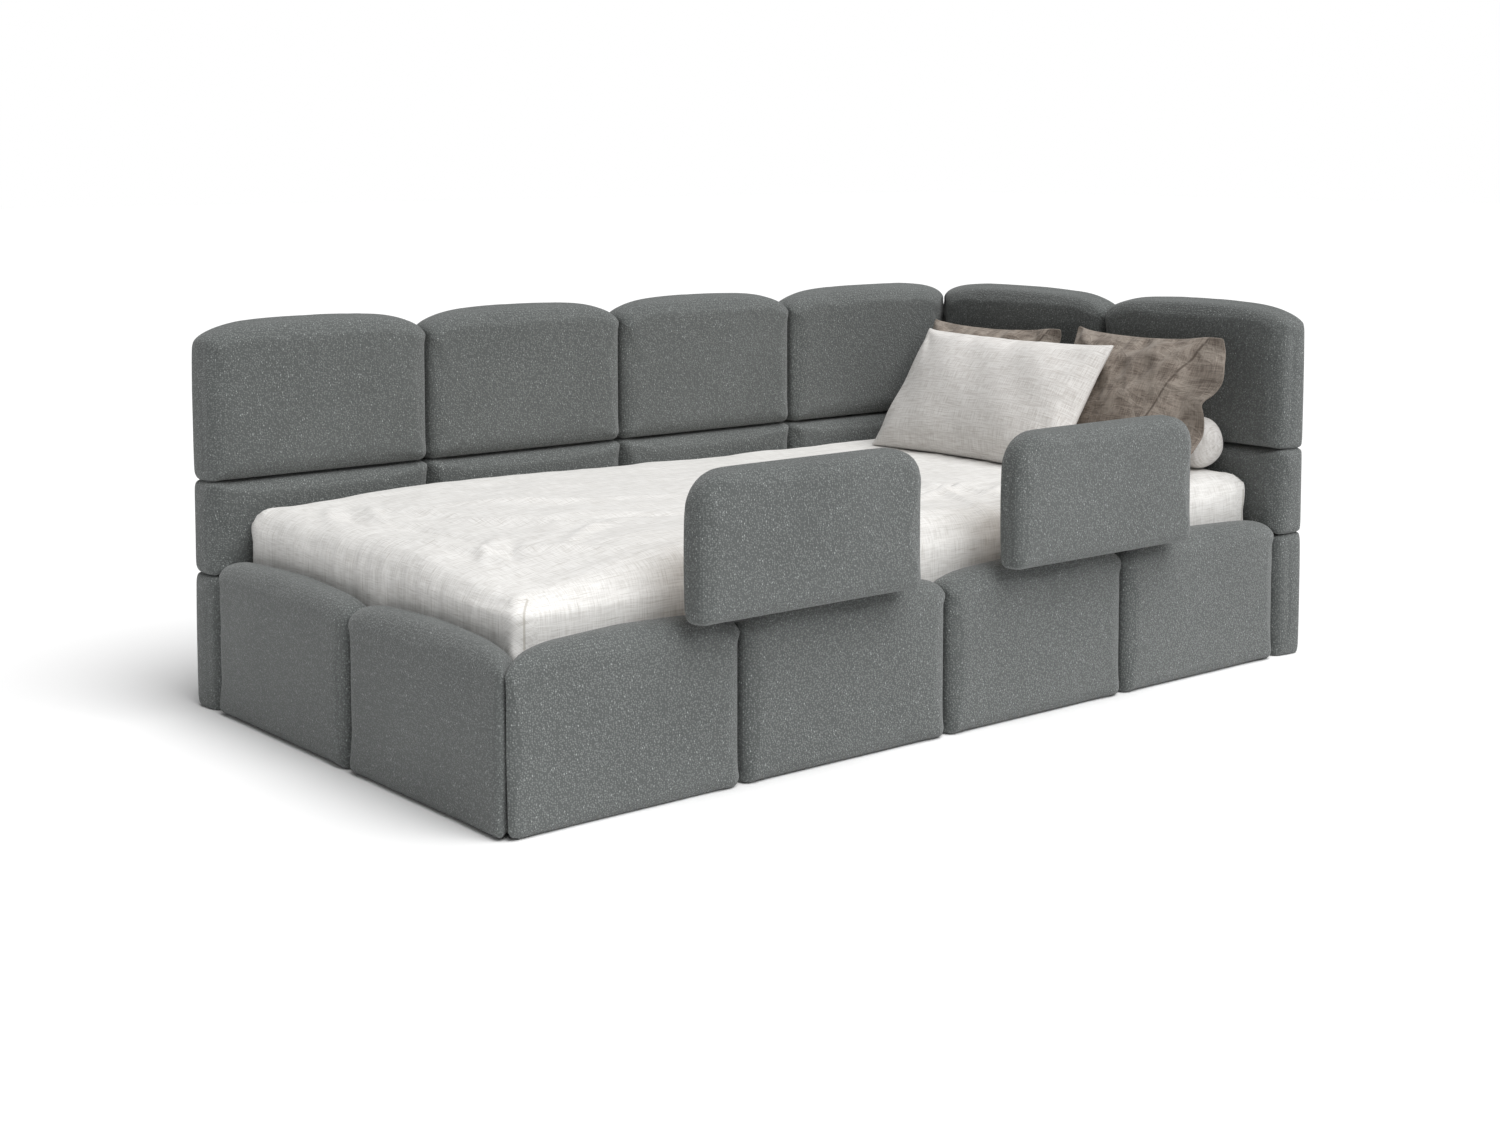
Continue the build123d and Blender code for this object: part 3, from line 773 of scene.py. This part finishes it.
def foldLines():
    # soft folds of the sheet: middle (share of length, share of width), length, width, height, turn
    return [
        (0.135, 0.46, 0.24, 0.020, 0.0034, -1.0), (0.175, 0.40, 0.20, 0.018, -0.0030, -0.9),
        (0.215, 0.60, 0.30, 0.030, 0.0028, -0.7), (0.105, 0.68, 0.22, 0.022, 0.0030, -1.2),
        (0.065, 0.55, 0.34, 0.020, -0.0032, -1.45), (0.045, 0.34, 0.26, 0.016, 0.0030, -1.35),
        (0.27, 0.33, 0.26, 0.026, -0.0024, -0.45), (0.31, 0.52, 0.28, 0.030, 0.0022, -0.35),
        (0.10, 0.22, 0.20, 0.018, 0.0030, -0.75), (0.60, 0.20, 0.22, 0.020, 0.0030, 0.25),
        (0.64, 0.26, 0.26, 0.022, -0.0028, 0.15), (0.69, 0.18, 0.20, 0.018, 0.0028, 0.4),
        (0.56, 0.42, 0.30, 0.030, 0.0018, 0.1), (0.80, 0.30, 0.24, 0.024, 0.0024, 0.9),
        (0.645, 0.20, 0.30, 0.017, 0.0026, 1.57), (0.603, 0.15, 0.26, 0.017, 0.0028, 1.22),
        (0.665, 0.08, 0.16, 0.020, 0.0022, 0.95), (0.035, 0.80, 0.13, 0.012, 0.0030, 1.15),
        (0.052, 0.77, 0.14, 0.012, -0.0026, 1.2), (0.070, 0.74, 0.13, 0.013, 0.0030, 1.25),
        (0.060, 0.29, 0.11, 0.015, 0.0036, 0.9), (0.078, 0.26, 0.10, 0.014, -0.0030, 1.0),
        (0.17, 0.27, 0.16, 0.017, 0.0026, 0.5),
    ]


def wrinkleSheet(points, low, high):
    size = np.array(high - low)
    share = (points - np.array(low)) / size
    onTop = softStep(points[:, 2], high.z - 0.03, high.z - 0.004)
    lift = np.zeros(len(points))
    for alongShare, acrossShare, length, width, height, turn in foldLines():
        dx = points[:, 0] - (low.x + alongShare * size[0])
        dy = points[:, 1] - (low.y + acrossShare * size[1])
        u = dx * math.cos(turn) + dy * math.sin(turn)
        v = -dx * math.sin(turn) + dy * math.cos(turn) + 0.15 * u * u / length
        lift += height * np.exp(-(u / length * 2) ** 2 - (v / width * 1.6) ** 2)
    broad, fine = bed["uneven"]
    lift = bed["folds"] * lift + broad * waves(points, 3, 0.16) + fine * waves(points, 4, 0.06)
    # the middle is fuller than the foot end and than where the pillows lie
    lengthways = softStep(share[:, 0], 0.01, 0.20) * (1 - 0.9 * softStep(share[:, 0], 0.20, 0.75))
    lift += bed["dome"] * lengthways * (1 - 0.6 * np.abs(2 * share[:, 1] - 1) ** 14)
    points[:, 2] += lift * onTop
    # pulled down at the open corner of the foot end
    near = np.hypot(points[:, 0] - low.x, points[:, 1] - low.y)
    down = bed["cornerFall"] * (1 - softStep(near, 0.02, bed["cornerReach"]))
    points[:, 2] -= down * softStep(points[:, 2], high.z - 0.09, high.z)
    # the sides pucker a little towards the rails
    side = 1 - onTop
    pucker = bed["pucker"] * waves(points * np.array([1, 1, 1 / 7]), 5, 0.045) * side
    nearX = np.minimum(points[:, 0] - low.x, high.x - points[:, 0])
    nearY = np.minimum(points[:, 1] - low.y, high.y - points[:, 1])
    alongX = nearX < nearY
    centre = np.array((low + high) / 2)
    points[alongX, 0] -= np.sign(points[alongX, 0] - centre[0]) * (0.0006 + pucker[alongX])
    points[~alongX, 1] -= np.sign(points[~alongX, 1] - centre[1]) * (0.0006 + pucker[~alongX])
    return points


def storeCloth(obj, values):
    attribute = obj.data.attributes.new("clothMap", "FLOAT_VECTOR", "POINT")
    attribute.data.foreach_set("vector", values.astype(np.float32).ravel())


def readCloth(obj):
    flat = np.empty(len(obj.data.vertices) * 3, np.float32)
    obj.data.attributes["clothMap"].data.foreach_get("vector", flat)
    return flat.reshape(-1, 3)


def storeValue(obj, name, values):
    attribute = obj.data.attributes.new(name, "FLOAT", "POINT")
    attribute.data.foreach_set("value", values.astype(np.float32))


def makeMattress():
    low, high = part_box("mattress")
    size = high - low
    core = addBox((low + high) / 2, size)
    core.name = "mattressCore"
    bevelEdges(core, lambda a, b: abs(a.z - b.z) > size.z / 2, bed["corner"], 6)
    for z, radius, cuts in ((high.z, bed["edge"], 6), (low.z, bed["edge"] * 0.7, 4)):
        bevelRim(core, lambda face: abs(face.normal.z) > 0.99 and abs(face.center.z - z) < small,
                 radius, cuts)
    remesh(core, bed["voxel"])
    inflate(core, bed["pressure"], bed["frames"], bed["cap"], held=pointsOf(core)[:, 2] < low.z + 0.01)
    points = np.clip(pointsOf(core), np.array(low), np.array(high))
    setPoints(core, points)
    addModifier(core, "SMOOTH", factor=0.5, iterations=2)
    applyModifiers(core)
    points = pointsOf(core)
    # fills its well out: towards the foot, the open side, the head and the back
    foot, side, head, back = bed["grow"]
    share = (points - np.array(low)) / np.array(size)
    points[:, 0] += head * softStep(share[:, 0], 0.9, 1) - foot * (1 - softStep(share[:, 0], 0, 0.1))
    back = back * (1 - 0.7 * softStep(share[:, 0], 0.62, 0.75))
    points[:, 1] += back * softStep(share[:, 1], 0.8, 1) - side * (1 - softStep(share[:, 1], 0, 0.2))
    setPoints(core, wrinkleSheet(points, low, high))
    sheet = copyPiece(core, "fittedSheet")
    # the sheet covers everything but the middle of the underside
    hem = bed["underHem"]
    pickFaces(sheet, lambda face: face.normal.z < -0.8 and low.x + hem < face.center.x < high.x - hem
              and low.y + hem < face.center.y < high.y - hem)
    bpy.ops.mesh.delete(type="FACE")
    endEdit()
    points = pointsOf(sheet)
    drop = np.maximum(high.z - points[:, 2], 0)
    middle = np.array((low + high) / 2)
    out = np.abs(points - middle) - np.array(size) / 2 + bed["edge"]
    flat = points.copy()
    for axis in (0, 1):
        flat[:, axis] += np.sign(points[:, axis] - middle[axis]) * drop * (out[:, axis] > 0) * softStep(
            out[:, axis], -0.001, 0.002)
    flat[:, 2] = 0
    storeCloth(sheet, flat)
    # how far a point lies from the upright seam of the nearest corner
    inward = np.array(size)[:2] / 2 - np.abs(points - middle)[:, :2]
    overTop = softStep(points[:, 2], high.z - 0.03, high.z - 0.01)
    storeValue(sheet, "seamOff", inward[:, 0] - inward[:, 1] - bed["seamFrom"] + overTop)
    # painted light: how much of each point lies on the sheet's sides, which are painted brighter
    storeValue(sheet, "paintedLightShare", 1 - softStep(points[:, 2], high.z - 0.045, high.z - 0.005))
    inside = pointsOf(core)
    normals = np.array([v.normal for v in core.data.vertices])
    setPoints(core, inside - normals * (bed["sheetGap"] + bed["sheetThick"]))
    addModifier(sheet, "SOLIDIFY", thickness=bed["sheetThick"], offset=-1)
    applyModifiers(sheet)
    for piece, finish in ((core, "webbing"), (sheet, "sheet")):
        smoothShade(piece)
        giveFinish(piece, finish)
        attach(piece, "mattress")
    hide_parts("mattress")
    side = size.z + hem
    print("mattress made")
    return high.z


def sewPouch(pillow):
    # two layers of cloth sewn round their edge and stuffed
    name, width, height = pillow["name"], pillow["width"], pillow["height"]
    deselectAll()
    bpy.ops.mesh.primitive_grid_add(x_subdivisions=round(width / pillow["cell"]),
                                    y_subdivisions=round(height / pillow["cell"]), size=1)
    pouch = bpy.context.object
    pouch.name = name
    pouch.scale = (width, height, 1)
    applyPlace(pouch)
    makeActive(pouch)
    bpy.ops.object.mode_set(mode="EDIT")
    bpy.ops.mesh.select_all(action="SELECT")
    bpy.ops.mesh.extrude_region_move(TRANSFORM_OT_translate={"value": (0, 0, stuffing["seam"])})
    bpy.ops.mesh.select_all(action="SELECT")
    bpy.ops.mesh.normals_make_consistent(inside=False)
    endEdit()
    points = pointsOf(pouch)
    upper = points[:, 2] > stuffing["seam"] / 2
    flat = points.copy()
    flat[:, 2] = upper * 1.0
    storeCloth(pouch, flat)
    # fuller in the middle, thin at the seams and flat in the corners
    u, v = 2 * points[:, 0] / width, 2 * points[:, 1] / height
    puff = ((1 - np.abs(u) ** 2.6).clip(0) * (1 - np.abs(v) ** 2.2).clip(0)) ** stuffing["softness"]
    puff *= pillow["puff"] / 2
    puff += creases(points, pillow) * np.minimum(1, puff / 0.008)
    points[:, 2] += np.where(upper, puff, -puff)
    # the edges draw in a little between the corners
    points[:, 0] -= u * pillow["drawnIn"] * (1 - v ** 2)
    points[:, 1] -= v * pillow["drawnIn"] * (1 - u ** 2)
    setPoints(pouch, points)
    return pouch


def creases(points, pillow):
    # folds that fan out of the corners, pleats along the hem, and soft dents
    total = np.zeros(len(points))
    rng = np.random.default_rng(pillow["seed"])
    for cornerX in (-1, 1):
        for cornerY in (-1, 1):
            dx = points[:, 0] - cornerX * pillow["width"] / 2
            dy = points[:, 1] - cornerY * pillow["height"] / 2
            far = np.hypot(dx, dy)
            angle = np.arctan2(dy, dx)
            fan = np.sin(angle * rng.uniform(9, 13) + rng.uniform(0, 6))
            fan += 0.5 * np.sin(angle * 21 + rng.uniform(0, 6))
            total += fan * np.exp(-((far - 0.05) / 0.055) ** 2) * np.minimum(1, far / 0.03)
    fromHem = np.abs(points[:, 0] - pillow["hem"])
    pleats = np.sin(points[:, 1] * 190 + 3 * np.sin(points[:, 1] * 31)) * np.exp(-fromHem / 0.018)
    total += 0.5 * pleats
    side = np.abs(points[:, 1]) / (pillow["height"] / 2)
    total += 0.5 * np.sin(points[:, 0] * 120 + 4 * np.sin(points[:, 0] * 17)) * softStep(side, 0.55, 0.95)
    total = total * pillow["crease"] + pillow["dents"] * waves(points, pillow["seed"] + 5, 0.11)
    return total - pillow["crumple"] * np.abs(waves(points, pillow["seed"] + 9, 0.055))


def addFlange(pouch, pillow):
    # a flat hem beyond the seam at the case's open end, slightly rippled
    cloth = readCloth(pouch)
    endX = cloth[:, 0].max() - 1e-5
    steps = 4
    pickFaces(pouch, lambda face: all(cloth[i, 0] > endX for i in face.vertices))
    for _ in range(steps):
        bpy.ops.mesh.extrude_region_move(TRANSFORM_OT_translate={"value": (pillow["flange"] / steps, 0, 0)})
    endEdit()
    wide = readCloth(pouch)
    count = len(wide)
    points = pointsOf(pouch)
    new = np.arange(count) >= len(cloth)
    ring = int(new.sum() / steps)
    order = (np.arange(count) - len(cloth)) // max(ring, 1) + 1
    out = np.where(new, order * pillow["flange"] / steps, 0)
    wide[:, 0] += out
    pouch.data.attributes["clothMap"].data.foreach_set("vector", wide.ravel())
    share = out / pillow["flange"]
    y = points[:, 1]
    ripple = 0.008 * np.sin(y * 42 + 0.6) + 0.006 * np.sin(y * 77 + 2.1)
    points[:, 2] += ripple * share ** 1.2
    # it hangs out further below its top corner, to a point with a notch under it
    v = 2 * y / pillow["height"]
    reach = softStep(1 - v, 0.0, 0.5) + 0.55 * np.exp(-((v - 0.40) / 0.20) ** 2)
    reach -= 0.45 * np.exp(-((v - 0.02) / 0.09) ** 2)
    lower = 1 - softStep(v, -1.0, -0.6)
    points[:, 0] += share * (pillow["hang"] * reach * (1 - lower) + 0.003 * np.sin(y * 53 + 1.0))
    points[:, 0] -= share * 0.5 * pillow["flange"] * lower
    setPoints(pouch, points)


def leanPillow(pouch, lean, foot, top, sideY):
    # stands the pouch up along its height and leans it towards the head panel
    pouch.rotation_mode = "QUATERNION"
    rows = Vector((0, -1, 0)), Vector((math.sin(lean), 0, math.cos(lean)))
    third = rows[0].cross(rows[1])
    turn = Matrix((rows[0], rows[1], third)).transposed()
    pouch.rotation_quaternion = turn.to_quaternion()
    pouch.location = ((foot[0] + top[0]) / 2, sideY, (foot[1] + top[1]) / 2)
    applyPlace(pouch)


stuffing = {"pressure": 3.0, "frames": 14, "cap": 0.006, "softness": 0.62, "seam": 0.003, "edge": 0.014,
            "leanShare": 0.93, "offBed": 0.0015, "offHead": 0.002}
pillows = {
    "white_pillow": {"name": "whitePillow", "finish": "white_linen", "puff": 0.098, "drawnIn": 0.007,
                     "crease": 0.0017, "dents": 0.0022, "seed": 3, "crumple": 0.0, "hem": 0.215,
                     "cell": 0.0072, "flange": 0.0, "grow": 1.015, "slide": -0.014, "dip": 0.006,
                     "hang": 0.0},
    "brown_pillow_left": {"name": "brownPillowLeft", "finish": "brown_linen", "puff": 0.08,
                          "drawnIn": 0.009, "crease": 0.0044, "dents": 0.005, "seed": 11, "hem": 0.15,
                          "crumple": 0.0052, "cell": 0.0078, "flange": 0.03, "grow": 0.97,
                          "slide": 0.01, "dip": 0.018, "hang": 0.006},
    "brown_pillow_right": {"name": "brownPillowRight", "finish": "brown_linen", "puff": 0.08,
                           "drawnIn": 0.009, "crease": 0.0044, "dents": 0.005, "seed": 17, "hem": 0.15,
                           "crumple": 0.0052, "cell": 0.0078, "flange": 0.036, "grow": 0.97,
                           "slide": 0.002, "dip": 0.004, "hang": 0.03},
}


def pushOff(points, origin, normal, gap):
    # nothing passes the plane: what would, lies flat against it
    normal = np.array(normal) / np.linalg.norm(normal)
    off = (points - np.array(origin)) @ normal - gap
    return points - np.minimum(off, 0)[:, None] * normal


def makePillows(bedTop):
    for node, pillow in pillows.items():
        low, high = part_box(node)
        width, depth = high.y - low.y, high.x - low.x
        rise = high.z - low.z
        pillow["width"] = (width - pillow["flange"]) * pillow["grow"]
        edge = stuffing["edge"]
        lean = math.atan2(depth - edge, rise) * stuffing["leanShare"]
        slant = math.hypot(depth - edge, rise)
        pillow["height"] = slant * pillow["grow"]
        pouch = sewPouch(pillow)
        inflate(pouch, stuffing["pressure"], stuffing["frames"], stuffing["cap"],
                stiffness=12, bending=0.3, mass=0.2)
        if pillow["flange"]:
            addFlange(pouch, pillow)
        foot = (low.x + edge / 2, low.z + 0.004 - pillow["dip"] / 3)
        top = (high.x - edge / 2, high.z - pillow["dip"])
        shift = pillow["flange"] / 2 + pillow["slide"]
        leanPillow(pouch, lean, foot, top, (low.y + high.y) / 2 + shift)
        points = pointsOf(pouch)
        points = pushOff(points, (0, 0, bedTop), (0, 0, 1), stuffing["offBed"])
        points = pushOff(points, (well["head"], 0, 0), (-1, 0, 0), stuffing["offHead"])
        setPoints(pouch, points)
        refine(pouch, 2, factor=0.4)
        finishPadded(pouch, node, pillow["finish"], "mattress")
    print("pillows made")


bolsterLook = {"name": "bolsterRoll", "slim": 0.96, "endRound": 0.042, "voxel": 0.006, "pressure": 4.0,
               "frames": 14, "cap": 0.008, "uneven": 0.002, "clear": 0.0005}


def makeBolster():
    low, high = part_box("bolster")
    radius = (high.z - low.z) / 2
    length = high.y - low.y
    deselectAll()
    bpy.ops.mesh.primitive_cylinder_add(vertices=48, radius=radius * bolsterLook["slim"], depth=length,
                                        rotation=(math.pi / 2, 0, 0), location=(low + high) / 2)
    roll = bpy.context.object
    roll.name = bolsterLook["name"]
    applyPlace(roll)
    bevelRim(roll, lambda face: abs(face.normal.y) > 0.99, bolsterLook["endRound"], 6)
    remesh(roll, bolsterLook["voxel"])
    inflate(roll, bolsterLook["pressure"], bolsterLook["frames"], bolsterLook["cap"])
    points = pointsOf(roll)
    points += bolsterLook["uneven"] * waves(points, 9, 0.09)[:, None] * np.array([1.0, 0.3, 1.0])
    points = np.clip(points, np.array(low) + bolsterLook["clear"], np.array(high) - bolsterLook["clear"])
    setPoints(roll, points)
    flat = points.copy()
    angle = np.arctan2(points[:, 2] - (low.z + high.z) / 2, points[:, 0] - (low.x + high.x) / 2)
    flat[:, 0], flat[:, 2] = angle * radius, 0
    storeCloth(roll, flat)
    refine(roll, 2)
    finishPadded(roll, "bolster", "bolster_linen", "mattress")
    print("bolster made")


view = {"place": (-2.4019, -2.8365, 0.9316), "yaw": 50.685, "pitch": 4.423, "lens": 51.52, "shift": -0.165}
light = {"sky": 0.235, "sun": 3.2, "sunFrom": (0.16, -0.50, 0.98), "sunAngle": 55.0}


def makeCamera():
    bpy.ops.object.camera_add(location=view["place"])
    camera = bpy.context.object
    yaw, pitch = math.radians(view["yaw"]), math.radians(view["pitch"])
    ahead = Vector((math.cos(yaw) * math.cos(pitch), math.sin(yaw) * math.cos(pitch), -math.sin(pitch)))
    camera.rotation_euler = ahead.to_track_quat("-Z", "Y").to_euler()
    camera.data.lens = view["lens"]
    camera.data.sensor_width = 36
    camera.data.shift_y = view["shift"]
    bpy.context.scene.camera = camera


def makeLight():
    aim = Vector(light["sunFrom"]).to_track_quat("Z", "Y")
    bpy.ops.object.light_add(type="SUN", rotation=aim.to_euler())
    sun = bpy.context.object.data
    sun.energy = light["sun"]
    sun.angle = math.radians(light["sunAngle"])
    world = bpy.data.worlds.new("studio")
    bpy.context.scene.world = world
    world.use_nodes = True
    tree = world.node_tree
    sky = tree.nodes["Background"]
    sky.inputs["Color"].default_value = (1, 1, 1, 1)
    sky.inputs["Strength"].default_value = light["sky"]
    seen = addNode(tree, "ShaderNodeBackground", {"Color": (1, 1, 1, 1), "Strength": 1.0})
    path = addNode(tree, "ShaderNodeLightPath")
    blend = addNode(tree, "ShaderNodeMixShader", {
        0: path.outputs["Is Camera Ray"], 1: sky.outputs[0], 2: seen.outputs[0]})
    tree.links.new(blend.outputs[0], tree.nodes["World Output"].inputs["Surface"])


def makeFloor():
    deselectAll()
    bpy.ops.mesh.primitive_plane_add(size=60)
    floor = bpy.context.object
    floor.name = "studioFloor"
    material, _, shader = newMaterial("paleFloor", 0.95, Specular_IOR_Level=0.0)
    shader.inputs["Base Color"].default_value = (0.97, 0.97, 0.97, 1)
    floor.data.materials.append(material)


makeRailPads()
makePanelPads()
makeGuards()
bedTop = makeMattress()
makePillows(bedTop)
makeBolster()
for shape in padCache.values():
    bpy.data.objects.remove(shape)
makeCamera()
makeLight()
makeFloor()
bpy.context.scene.view_settings.view_transform = "Standard"
deselectAll()

print("scene made")
